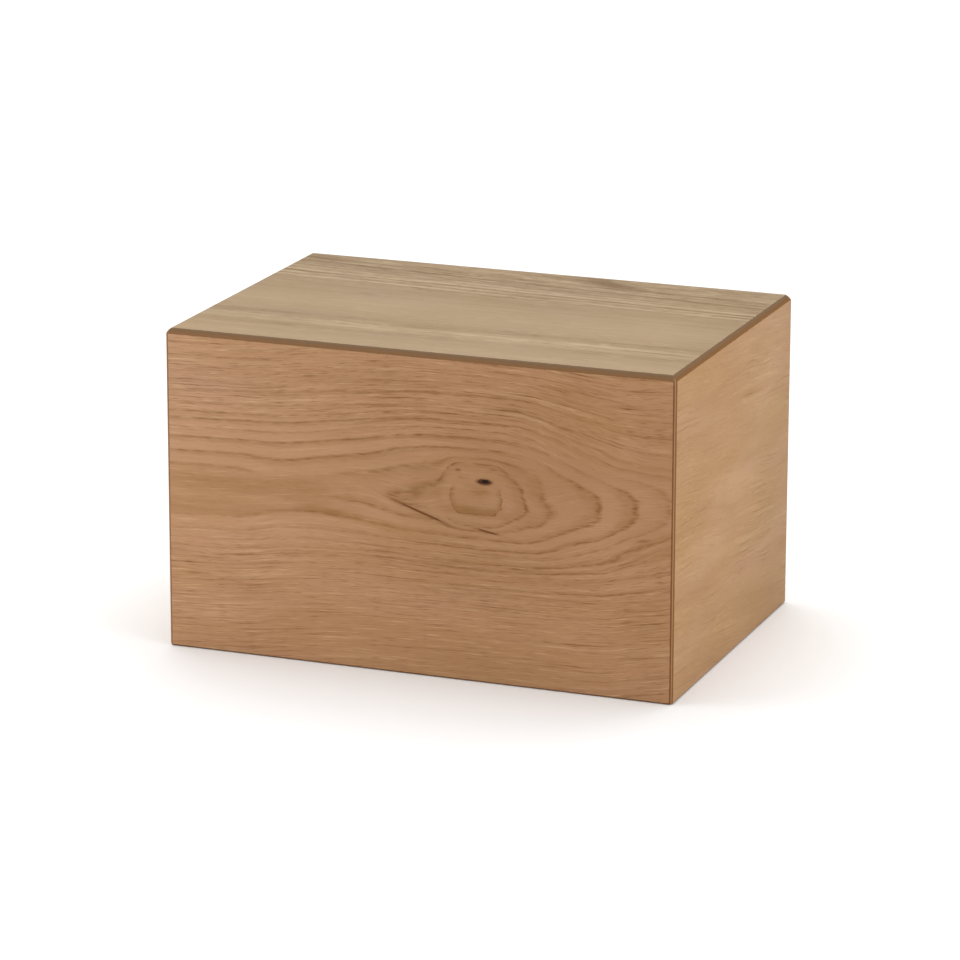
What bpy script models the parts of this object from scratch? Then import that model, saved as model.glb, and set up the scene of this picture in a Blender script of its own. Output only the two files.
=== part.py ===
"""Cremation urn box: five mitred boards, a base panel let in from below, and its four screws.

The origin is the middle of the footprint, on the surface that the box stands on. X runs along
the width, -Y is the front and +Z is up. All sizes are in metres.
"""

import math
from typing import NamedTuple

import bmesh
import bpy
from mathutils import Matrix, Vector

# Outside of the closed box
INCH = 0.0254
WIDTH = 9.1 * INCH
DEPTH = 6.3 * INCH
HEIGHT = 5.6 * INCH

# Boards
WALL_THICKNESS = 0.012
TOP_THICKNESS = 0.012
BASE_THICKNESS = 0.009
MITRE_GAP = 0.0003

# How much of each face its eased outer edge takes off
TOP_EASE = 0.0026
CORNER_EASE = 0.0017
FOOT_EASE = 0.0010
EASE_SEGMENTS = 4
EASE_PROFILE = 0.36

# The base panel lies in a rebate cut round the foot of the walls
BASE_RECESS = 0.001
BASE_SIDE_CLEARANCE = 0.0005
BASE_TOP_CLEARANCE = 0.0003
BASE_EASE = 0.0004

# Countersunk screws that go up through the base panel into the long walls
SCREW_LENGTH = 0.020
SCREW_HEAD_RADIUS = 0.0028
SCREW_SHANK_RADIUS = 0.0014
SCREW_POINT_LENGTH = 0.004
SCREW_RIM = 0.0002
SCREW_SINK = 0.0002
SCREW_CLEARANCE = 0.0003
SCREW_FROM_PANEL_END = 0.038
SCREW_STEPS = 24

# Wood left between each countersink and the edge of the panel
COUNTERSINK_MARGIN = 0.0006

# Cross recess in each screw's head, and the rim of the head left round it
CROSS_MARGIN = 0.0012
CROSS_SLOT = 0.0007
CROSS_DEPTH = 0.0011
CROSS_TAPER = 0.4

# How far a cutter runs past the wood that it cuts
OVERCUT = 0.002


class Flaw(NamedTuple):
    """A narrow oval pit in the front board: its middle, size, tilt in degrees and depth."""

    x: float
    z: float
    length: float
    width: float
    tilt: float
    depth: float


FLAWS = {
    "knot_hole": Flaw(x=0.0311, z=0.0887, length=0.0062, width=0.0023, tilt=0.0, depth=0.0012),
    "long_crack": Flaw(x=0.0026, z=0.0725, length=0.0206, width=0.0007, tilt=18.4, depth=0.0008),
    "short_crack": Flaw(x=0.0325, z=0.0671, length=0.0089, width=0.0006, tilt=9.7, depth=0.0008),
}
FLAW_SEGMENTS = 20

# Outward direction, distance from the origin and thickness of each mitred board
FACES = {
    "front_board": (Vector((0, -1, 0)), DEPTH / 2, WALL_THICKNESS),
    "back_board": (Vector((0, 1, 0)), DEPTH / 2, WALL_THICKNESS),
    "left_board": (Vector((-1, 0, 0)), WIDTH / 2, WALL_THICKNESS),
    "right_board": (Vector((1, 0, 0)), WIDTH / 2, WALL_THICKNESS),
    "top_board": (Vector((0, 0, 1)), HEIGHT, TOP_THICKNESS),
}
BOARD_COLOURS = {
    "front_board": (0.42, 0.24, 0.13),
    "back_board": (0.42, 0.24, 0.13),
    "left_board": (0.46, 0.28, 0.16),
    "right_board": (0.46, 0.28, 0.16),
    "top_board": (0.45, 0.31, 0.19),
}
FIBREBOARD_COLOUR = (0.24, 0.14, 0.07)
STEEL_COLOUR = (0.62, 0.61, 0.58)

# The panel laps over the walls by the width of a countersink and a margin on both sides of it
SCREW_FROM_PANEL_EDGE = SCREW_HEAD_RADIUS + SCREW_CLEARANCE + COUNTERSINK_MARGIN
PANEL_LAP = 2 * SCREW_FROM_PANEL_EDGE
PANEL_HALF_X = WIDTH / 2 - WALL_THICKNESS + PANEL_LAP
PANEL_HALF_Y = DEPTH / 2 - WALL_THICKNESS + PANEL_LAP
PANEL_TOP = BASE_RECESS + BASE_THICKNESS


def clear_scene():
    """Removes every object that is already in the scene."""
    for found in list(bpy.data.objects):
        bpy.data.objects.remove(found)


def make_collection(name):
    """A new collection linked to the scene."""
    made = bpy.data.collections.new(name)
    bpy.context.scene.collection.children.link(made)
    return made


def make_material(name, colour, roughness, metallic=0.0):
    """A Principled material of one colour."""
    material = bpy.data.materials.new(name)
    material.use_nodes = True
    shader = material.node_tree.nodes["Principled BSDF"]
    shader.inputs["Base Color"].default_value = (*colour, 1.0)
    shader.inputs["Roughness"].default_value = roughness
    shader.inputs["Metallic"].default_value = metallic
    return material


def make_object(name, mesh, collection, material=None):
    """A new object around a mesh, smooth except at its corners."""
    made = bpy.data.objects.new(name, mesh)
    collection.objects.link(made)
    if material:
        mesh.materials.append(material)
    mesh.shade_smooth()
    mesh.set_sharp_from_angle(angle=math.radians(30))
    return made


def to_mesh(bm, name):
    """Ends a bmesh as a named mesh."""
    mesh = bpy.data.meshes.new(name)
    bm.to_mesh(mesh)
    bm.free()
    return mesh


def block(low, high):
    """A plain rectangular block between two corners, as a bmesh."""
    bm = bmesh.new()
    bmesh.ops.create_cube(bm, size=1.0)
    low, high = Vector(low), Vector(high)
    bmesh.ops.scale(bm, vec=high - low, verts=bm.verts)
    bmesh.ops.translate(bm, vec=(low + high) / 2, verts=bm.verts)
    return bm


def edge_ease(edge):
    """The easing that an edge of the outer block gets, by where it runs."""
    heights = [v.co.z for v in edge.verts]
    if min(heights) > HEIGHT / 2:
        return TOP_EASE
    if max(heights) < HEIGHT / 2:
        return FOOT_EASE
    return CORNER_EASE


def eased_block_mesh(collection):
    """The outside of the whole box as one solid, with its edges eased."""
    bm = block((-WIDTH / 2, -DEPTH / 2, 0), (WIDTH / 2, DEPTH / 2, HEIGHT))
    widest = max(TOP_EASE, CORNER_EASE, FOOT_EASE)
    weights = [edge_ease(edge) / widest for edge in bm.edges]
    mesh = to_mesh(bm, "eased_block")
    layer = mesh.attributes.new("bevel_weight_edge", "FLOAT", "EDGE")
    layer.data.foreach_set("value", weights)
    guide = bpy.data.objects.new("eased_block", mesh)
    collection.objects.link(guide)
    bevel = guide.modifiers.new("ease", "BEVEL")
    bevel.limit_method = "WEIGHT"
    bevel.width = widest
    bevel.segments = EASE_SEGMENTS
    bevel.profile = EASE_PROFILE
    graph = bpy.context.evaluated_depsgraph_get()
    eased = bpy.data.meshes.new_from_object(guide.evaluated_get(graph))
    bpy.data.objects.remove(guide)
    return eased


def cut_away(bm, point, normal):
    """Saws off what lies beyond a plane and closes the cut with a flat face."""
    everything = bm.verts[:] + bm.edges[:] + bm.faces[:]
    cut = bmesh.ops.bisect_plane(
        bm, geom=everything, dist=1e-7, plane_co=point, plane_no=normal, clear_outer=True
    )
    rim = [found for found in cut["geom_cut"] if isinstance(found, bmesh.types.BMEdge)]
    bmesh.ops.edgeloop_fill(bm, edges=rim)


def mitred_board_mesh(name, eased):
    """One board of the box: its face of the eased block, mitred against every board beside it."""
    outward, distance, thickness = FACES[name]
    bm = bmesh.new()
    bm.from_mesh(eased)
    cut_away(bm, outward * (distance - thickness), -outward)
    for neighbour, (side, side_distance, side_thickness) in FACES.items():
        if neighbour == name or abs(side.dot(outward)) > 0.5:
            continue
        towards = (side / side_thickness - outward / thickness).normalized()
        outer_edge = outward * distance + side * side_distance
        cut_away(bm, outer_edge - towards * MITRE_GAP / 2, towards)
    bmesh.ops.recalc_face_normals(bm, faces=bm.faces)
    return to_mesh(bm, name)


def subtract(target, cutters):
    """Cuts each cutter out of the target with a Boolean modifier."""
    for cutter in cutters:
        cut = target.modifiers.new(cutter.name, "BOOLEAN")
        cut.operation = "DIFFERENCE"
        cut.solver = "EXACT"
        cut.object = cutter


def make_cutter(name, mesh, collection, place=(0, 0, 0)):
    """An object that only cuts others, so it is left out of the model itself."""
    cutter = make_object(name, mesh, collection)
    cutter.location = place
    cutter.hide_render = True
    cutter.display_type = "WIRE"
    return cutter


def turned_mesh(profile, name, collection):
    """A solid turned round Z from (radius, height) points, given from its top to its foot."""
    bm = bmesh.new()
    points = [bm.verts.new((radius, 0, height)) for radius, height in profile]
    for upper, lower in zip(points, points[1:]):
        bm.edges.new((upper, lower))
    guide = bpy.data.objects.new(name, to_mesh(bm, name))
    collection.objects.link(guide)
    screw = guide.modifiers.new("turn", "SCREW")
    screw.axis = "Z"
    screw.angle = math.tau
    screw.steps = SCREW_STEPS
    screw.render_steps = SCREW_STEPS
    screw.use_merge_vertices = True
    screw.merge_threshold = 1e-5
    graph = bpy.context.evaluated_depsgraph_get()
    turned = bpy.data.meshes.new_from_object(guide.evaluated_get(graph))
    bpy.data.objects.remove(guide)
    return turned


def screw_profile():
    """A countersunk screw standing point up, with the flat of its head at height 0."""
    cone_top = SCREW_RIM + SCREW_HEAD_RADIUS - SCREW_SHANK_RADIUS
    return [
        (0, SCREW_LENGTH),
        (SCREW_SHANK_RADIUS, SCREW_LENGTH - SCREW_POINT_LENGTH),
        (SCREW_SHANK_RADIUS, cone_top),
        (SCREW_HEAD_RADIUS, SCREW_RIM),
        (SCREW_HEAD_RADIUS, 0),
        (0, 0),
    ]


def screw_hole_profile():
    """The hole for that screw: a clearance all round, and open below the head."""
    bore = SCREW_SHANK_RADIUS + SCREW_CLEARANCE
    countersink = SCREW_HEAD_RADIUS + SCREW_CLEARANCE
    cone_foot = SCREW_RIM + SCREW_CLEARANCE
    return [
        (0, SCREW_LENGTH + SCREW_CLEARANCE),
        (bore, SCREW_LENGTH + SCREW_CLEARANCE),
        (bore, cone_foot + countersink - bore),
        (countersink, cone_foot),
        (countersink, -SCREW_SINK - OVERCUT),
        (0, -SCREW_SINK - OVERCUT),
    ]


def screw_places():
    """The middle of each screw's head, two along the front of the base panel and two along the back."""
    along = PANEL_HALF_X - SCREW_FROM_PANEL_END
    across = PANEL_HALF_Y - SCREW_FROM_PANEL_EDGE
    height = BASE_RECESS + SCREW_SINK
    return [(x, y, height) for y in (-across, across) for x in (-along, along)]


def flaw_cutter(name, cutters):
    """The cutter for one flaw: an upright oval disc laid against the front face and tilted."""
    flaw = FLAWS[name]
    bm = bmesh.new()
    bmesh.ops.create_cone(
        bm,
        cap_ends=True,
        segments=FLAW_SEGMENTS,
        radius1=0.5,
        radius2=0.5,
        depth=2 * flaw.depth,
        matrix=Matrix.Rotation(math.pi / 2, 4, "X"),
    )
    bmesh.ops.scale(bm, vec=(flaw.length, 1, flaw.width), verts=bm.verts)
    tilt = Matrix.Rotation(math.radians(flaw.tilt), 3, "Y")
    bmesh.ops.rotate(bm, matrix=tilt, verts=bm.verts)
    return make_cutter(name, to_mesh(bm, name), cutters, (flaw.x, -DEPTH / 2, flaw.z))


def make_walls_and_top(collection, rebate, holes, flaws):
    """The five mitred boards, with the rebate and pilot holes in the walls and the front's flaws."""
    eased = eased_block_mesh(collection)
    for name, (outward, _, _) in FACES.items():
        finish = make_material(name, BOARD_COLOURS[name], 0.5)
        board = make_object(name, mitred_board_mesh(name, eased), collection, finish)
        if outward.z == 0:
            subtract(board, [rebate])
        if outward.y != 0:
            subtract(board, [hole for hole in holes if hole.location.dot(outward) > 0])
        if name == "front_board":
            subtract(board, flaws)


def make_base(collection, holes):
    """The panel that closes the box from below."""
    bm = block((-PANEL_HALF_X, -PANEL_HALF_Y, BASE_RECESS), (PANEL_HALF_X, PANEL_HALF_Y, PANEL_TOP))
    bmesh.ops.bevel(bm, geom=bm.edges, offset=BASE_EASE, segments=1, affect="EDGES")
    finish = make_material("base_board", FIBREBOARD_COLOUR, 0.7)
    base = make_object("base_board", to_mesh(bm, "base_board"), collection, finish)
    subtract(base, holes)


def slot_mesh(name, turn):
    """One arm of the cross recess, from the flat of the head to its narrower foot."""
    half_span = SCREW_HEAD_RADIUS - CROSS_MARGIN
    bm = block((-half_span, -CROSS_SLOT / 2, 0), (half_span, CROSS_SLOT / 2, CROSS_DEPTH))
    foot = [v for v in bm.verts if v.co.z > CROSS_DEPTH / 2]
    bmesh.ops.scale(bm, vec=(CROSS_TAPER, 1, 1), verts=foot)
    steepness = 1 + (1 - CROSS_TAPER) * OVERCUT / CROSS_DEPTH
    mouth = [v for v in bm.verts if v.co.z < CROSS_DEPTH / 2]
    bmesh.ops.scale(bm, vec=(steepness, 1, 1), verts=mouth)
    bmesh.ops.translate(bm, vec=(0, 0, -OVERCUT), verts=mouth)
    bmesh.ops.rotate(bm, matrix=Matrix.Rotation(turn, 3, "Z"), verts=bm.verts)
    return to_mesh(bm, name)


def make_screws(collection, cutters, places):
    """The four screws, each with a cross recess in its head."""
    finish = make_material("screw_steel", STEEL_COLOUR, 0.35, metallic=1.0)
    for number, place in enumerate(places, start=1):
        name = f"base_screw_{number}"
        screw = make_object(name, turned_mesh(screw_profile(), name, collection), collection, finish)
        screw.location = place
        for arm, turn in (("slot_x", 0), ("slot_y", math.pi / 2)):
            mesh = slot_mesh(f"{arm}_{number}", turn)
            subtract(screw, [make_cutter(mesh.name, mesh, cutters, place)])


def build():
    """Builds the whole box."""
    clear_scene()
    parts = make_collection("cremation_urn_box")
    cutters = make_collection("cutters")
    rebate_x = PANEL_HALF_X + BASE_SIDE_CLEARANCE
    rebate_y = PANEL_HALF_Y + BASE_SIDE_CLEARANCE
    ceiling = PANEL_TOP + BASE_TOP_CLEARANCE
    recess = block((-rebate_x, -rebate_y, -OVERCUT), (rebate_x, rebate_y, ceiling))
    rebate = make_cutter("rebate", to_mesh(recess, "rebate"), cutters)
    places = screw_places()
    holes = [
        make_cutter(
            f"screw_hole_{number}",
            turned_mesh(screw_hole_profile(), f"screw_hole_{number}", cutters),
            cutters,
            place,
        )
        for number, place in enumerate(places, start=1)
    ]
    flaws = [flaw_cutter(name, cutters) for name in FLAWS]
    make_walls_and_top(parts, rebate, holes, flaws)
    make_base(parts, holes)
    make_screws(parts, cutters, places)


build()
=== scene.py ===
"""A cremation urn box of veneered boards with eased dark edges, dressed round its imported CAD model.

The box stands on the origin: X runs along its width, -Y is the front with the knot and +Z is up.
Shapes are in metres. Wood figures are in millimetres across a face, because grain is that fine.
"""

import logging
import math
from dataclasses import dataclass, field, replace
from enum import Enum
from typing import Mapping, Optional, Sequence, Union

import bmesh
import bpy
from mathutils import Matrix, Vector


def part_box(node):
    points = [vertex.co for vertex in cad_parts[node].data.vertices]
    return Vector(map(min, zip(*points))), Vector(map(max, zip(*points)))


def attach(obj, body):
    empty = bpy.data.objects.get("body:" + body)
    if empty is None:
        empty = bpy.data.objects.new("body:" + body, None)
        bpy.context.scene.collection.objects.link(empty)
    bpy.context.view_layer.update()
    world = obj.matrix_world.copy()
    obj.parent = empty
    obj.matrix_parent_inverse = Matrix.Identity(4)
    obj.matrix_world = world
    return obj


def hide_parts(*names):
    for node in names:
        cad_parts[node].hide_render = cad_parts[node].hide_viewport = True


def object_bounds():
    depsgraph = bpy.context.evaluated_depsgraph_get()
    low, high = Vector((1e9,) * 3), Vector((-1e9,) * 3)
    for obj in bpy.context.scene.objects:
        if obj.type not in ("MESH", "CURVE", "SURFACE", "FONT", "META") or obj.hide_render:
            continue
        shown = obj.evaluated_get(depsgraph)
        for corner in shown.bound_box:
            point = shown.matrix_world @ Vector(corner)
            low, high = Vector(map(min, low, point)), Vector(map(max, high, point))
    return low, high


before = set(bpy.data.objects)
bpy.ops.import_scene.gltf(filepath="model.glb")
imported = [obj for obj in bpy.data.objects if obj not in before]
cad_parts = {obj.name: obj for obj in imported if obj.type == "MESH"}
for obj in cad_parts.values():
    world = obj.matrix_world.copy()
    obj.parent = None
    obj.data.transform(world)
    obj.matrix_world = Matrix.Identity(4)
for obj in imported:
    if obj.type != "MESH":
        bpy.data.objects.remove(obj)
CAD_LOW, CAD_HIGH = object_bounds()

log = logging.getLogger("urn_box")

MM = 0.001
PER_METRE = 1000.0

Number = Union["Value", float, int]
Rgb = tuple[float, float, float]
Colour = Union[bpy.types.NodeSocket, Rgb]
Points = Sequence[tuple[float, float]]


@dataclass(frozen=True)
class Value:
    """A number that varies over a surface. Arithmetic on it adds Math nodes."""

    sheet: "NodeSheet"
    socket: bpy.types.NodeSocket

    def math(self, operation: str, *operands: Number) -> "Value":
        """The result of one Math node."""
        made = self.sheet.node("ShaderNodeMath", {"operation": operation}, dict(enumerate(operands)))
        return Value(self.sheet, made.outputs[0])

    def __add__(self, other: Number) -> "Value":
        """self + other."""
        return self.math("ADD", self, other)

    def __radd__(self, other: Number) -> "Value":
        """other + self."""
        return self.math("ADD", other, self)

    def __sub__(self, other: Number) -> "Value":
        """self - other."""
        return self.math("SUBTRACT", self, other)

    def __rsub__(self, other: Number) -> "Value":
        """other - self."""
        return self.math("SUBTRACT", other, self)

    def __mul__(self, other: Number) -> "Value":
        """self * other."""
        return self.math("MULTIPLY", self, other)

    def __rmul__(self, other: Number) -> "Value":
        """other * self."""
        return self.math("MULTIPLY", other, self)

    def __pow__(self, power: Number) -> "Value":
        """self to a power."""
        return self.math("POWER", self, power)

    def __neg__(self) -> "Value":
        """-self."""
        return self * -1.0

    def __abs__(self) -> "Value":
        """The size of self without its sign."""
        return self.math("ABSOLUTE", self)

    def root(self) -> "Value":
        """The square root."""
        return self.math("SQRT", self)

    def exp(self) -> "Value":
        """e to the power of self."""
        return self.math("EXPONENT", self)

    def at_least(self, other: Number) -> "Value":
        """The larger of self and other."""
        return self.math("MAXIMUM", self, other)

    def at_most(self, other: Number) -> "Value":
        """The smaller of self and other."""
        return self.math("MINIMUM", self, other)

    def rise(self, start: Number, end: Number) -> "Value":
        """A smooth step from 0 at start to 1 at end, or down from 1 where end is the lower.

        Args:
            start: where the step begins.
            end: where it ends.

        Returns:
            The step, from 0 to 1.
        """
        made = self.sheet.node(
            "ShaderNodeMapRange",
            {"interpolation_type": "SMOOTHSTEP"},
            {"Value": self, "From Min": start, "From Max": end},
        )
        return Value(self.sheet, made.outputs["Result"])

    def bell(self, middle: Number, width: float) -> "Value":
        """A bell curve: 1 at the middle, and about a third at the width from it."""
        offset = (self - middle) * (1.0 / width)
        return (-(offset * offset)).exp()


class NodeSheet:
    """One material's node tree, and the single place where its nodes are made."""

    def __init__(self, name: str) -> None:
        """Starts a material with a plain Principled shader.

        Args:
            name: the material's name.
        """
        self.material = bpy.data.materials.new(name)
        self.material.use_nodes = True
        self.tree = self.material.node_tree
        self.shader = self.tree.nodes["Principled BSDF"]

    def node(
        self, kind: str, settings: Optional[Mapping] = None, inputs: Optional[Mapping] = None
    ) -> bpy.types.Node:
        """Adds one node.

        Args:
            kind: the node's type name.
            settings: its own settings. "curve" gives the points of a curve node.
            inputs: values or links for its sockets, by name or number.

        Returns:
            The new node.
        """
        made = self.tree.nodes.new(kind)
        for name, setting in (settings or {}).items():
            if name == "curve":
                self.set_curve(made.mapping, setting)
            else:
                setattr(made, name, setting)
        for key, given in (inputs or {}).items():
            self.feed(made.inputs[key], given)
        return made

    def feed(self, socket: bpy.types.NodeSocket, given: Union[Number, Colour]) -> None:
        """Links a socket to a value, or sets it to a plain number or colour.

        Args:
            socket: the socket to feed.
            given: a value, a colour socket, a number or a colour.
        """
        source = given.socket if isinstance(given, Value) else given
        if isinstance(source, bpy.types.NodeSocket):
            self.tree.links.new(source, socket)
        elif socket.type == "RGBA":
            socket.default_value = (*source, 1.0)
        else:
            socket.default_value = source

    @staticmethod
    def set_curve(mapping: bpy.types.CurveMapping, points: Points) -> None:
        """Puts a curve node's points in place, between 0 and 1 both ways.

        Args:
            mapping: the curve that the node holds.
            points: its points, from left to right.
        """
        line = mapping.curves[0].points
        line[0].location, line[1].location = points[0], points[-1]
        for place in points[1:-1]:
            line.new(*place)
        for point in line:
            point.handle_type = "AUTO_CLAMPED"
        mapping.update()

    def coordinates(self) -> tuple[Value, Value, Value]:
        """The point's place on the object, in millimetres along X, Y and Z.

        Returns:
            X, Y and Z.
        """
        place = self.node("ShaderNodeTexCoord").outputs["Object"]
        split = self.node("ShaderNodeSeparateXYZ", inputs={"Vector": place})
        x, y, z = (Value(self, socket) * PER_METRE for socket in split.outputs)
        return x, y, z

    def curve(self, value: Value, points: Points) -> Value:
        """A smooth curve through points.

        Args:
            value: where to read the curve.
            points: its (place, height) points, from the lowest place to the highest.

        Returns:
            The height at that value, flat beyond the ends.
        """
        places, heights = zip(*points)
        span, rise = places[-1] - places[0], max(heights) - min(heights)
        scaled = [((x - places[0]) / span, (y - min(heights)) / rise) for x, y in points]
        share = ((value - places[0]) * (1.0 / span)).at_least(0.0).at_most(1.0)
        made = self.node("ShaderNodeFloatCurve", {"curve": scaled}, {"Value": share})
        return Value(self, made.outputs[0]) * rise + min(heights)

    def noise(self, u: Number, v: Number, seed: float = 0.0, detail: float = 2.0) -> Value:
        """Smooth noise from about -1 to 1 that changes over a step of about 1 in u or v.

        Args:
            u: the place along the first direction, in steps.
            v: the place along the second direction, in steps.
            seed: picks one noise out of many.
            detail: how many finer layers it has.

        Returns:
            The noise.
        """
        vector = self.node("ShaderNodeCombineXYZ", inputs={0: u, 1: v, 2: seed}).outputs[0]
        made = self.node("ShaderNodeTexNoise", inputs={"Vector": vector, "Scale": 1.0, "Detail": detail})
        return (Value(self, made.outputs[0]) - 0.5) * 2.0

    def mix(self, first: Colour, second: Colour, share: Number) -> bpy.types.NodeSocket:
        """The first colour where the share is 0, and the second where it is 1.

        Args:
            first: a colour.
            second: another colour.
            share: the share of the second.

        Returns:
            The mixed colour.
        """
        settings = {"data_type": "RGBA", "clamp_factor": True}
        made = self.node("ShaderNodeMix", settings, {0: share, 6: first, 7: second})
        return made.outputs[2]

    def scale(self, colour: Colour, factor: Number) -> bpy.types.NodeSocket:
        """A colour made lighter or darker by a factor."""
        made = self.node("ShaderNodeVectorMath", {"operation": "SCALE"}, {0: colour, "Scale": factor})
        return made.outputs[0]

    def bump(self, height_mm: Value) -> None:
        """Gives the surface a relief, in millimetres.

        Args:
            height_mm: the relief's height.
        """
        inputs = {"Height": height_mm * MM, "Strength": 1.0, "Distance": 1.0}
        made = self.node("ShaderNodeBump", inputs=inputs)
        self.feed(self.shader.inputs["Normal"], made.outputs[0])


class Side(Enum):
    """The five mitred boards, by the CAD nodes that they replace."""

    FRONT = "front_board"
    BACK = "back_board"
    LEFT = "left_board"
    RIGHT = "right_board"
    TOP = "top_board"

    @property
    def outward(self) -> Vector:
        """The direction out of the board's face.

        Returns:
            A direction of length 1.
        """
        directions = {
            Side.FRONT: (0, -1, 0),
            Side.BACK: (0, 1, 0),
            Side.LEFT: (-1, 0, 0),
            Side.RIGHT: (1, 0, 0),
            Side.TOP: (0, 0, 1),
        }
        return Vector(directions[self])


@dataclass(frozen=True)
class Pattern:
    """What a wood figure says about each point of a face."""

    along: Value
    across: Value
    dark: Value
    pale: Value
    honey: Number = 0.0


@dataclass(frozen=True)
class Spot:
    """A soft oval mark in the wood, in millimetres across the face, with its tilt in degrees."""

    x: float
    z: float
    length: float
    width: float
    tilt: float = 0.0
    strength: float = 1.0

    def mask(self, u: Value, v: Value) -> Value:
        """How much of the mark lies at a point, from 0 to its strength.

        Args:
            u: millimetres along the face.
            v: millimetres up the face.

        Returns:
            The mark's share of the point.
        """
        turn = math.radians(self.tilt)
        du, dv = u - self.x, v - self.z
        far = (du * math.cos(turn) + dv * math.sin(turn)) * (2.0 / self.length)
        wide = (dv * math.cos(turn) - du * math.sin(turn)) * (2.0 / self.width)
        return (-(far * far + wide * wide)).exp() * self.strength


@dataclass(frozen=True)
class Grain:
    """The fine grain between the larger lines: long thin lines, shorter dashes and pores."""

    seed: float
    line: float = 0.80
    dash: float = 0.75
    fleck: float = 0.85
    wave_mm: float = 2.4

    def dark(self, sheet: NodeSheet, along: Value, across: Value, coarse: Number = 1.0) -> Value:
        """How dark the grain is at a point.

        Args:
            sheet: the material that the nodes go into.
            along: millimetres along the fibres.
            across: millimetres across them.
            coarse: the share of the long lines.

        Returns:
            The darkness, about 0 to 1.
        """
        wave = 1.0 / self.wave_mm
        contour = abs(sheet.noise(along * 0.008, across * wave, self.seed, 1.0))
        dashes = sheet.noise(along * 0.035, across * (wave * 2.6), self.seed + 1.0, 2.0)
        flecks = sheet.noise(along * 0.14, across * (wave * 5.0), self.seed + 2.0, 1.0)
        lines = contour.rise(0.11, 0.0) * (dashes * 1.4 + 0.55).at_least(0.0)
        dark = lines * coarse * self.line + dashes.rise(0.0, 0.6) * self.dash
        return dark + flecks.rise(0.05, 0.6) * self.fleck

    def pale(self, sheet: NodeSheet, along: Value, across: Value) -> Value:
        """How pale the grain is at a point, about 0 to 1.

        Args:
            sheet: the material that the nodes go into.
            along: millimetres along the fibres.
            across: millimetres across them.

        Returns:
            The paleness, about 0 to 1.
        """
        wave = 1.0 / self.wave_mm
        streaks = sheet.noise(along * 0.014, across * (wave * 0.8), self.seed + 3.0, 3.0)
        dashes = sheet.noise(along * 0.06, across * (wave * 3.2), self.seed + 4.0, 2.0)
        return streaks.rise(0.05, 0.5) * 0.7 + dashes.rise(0.1, 0.5) * 1.2


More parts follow.
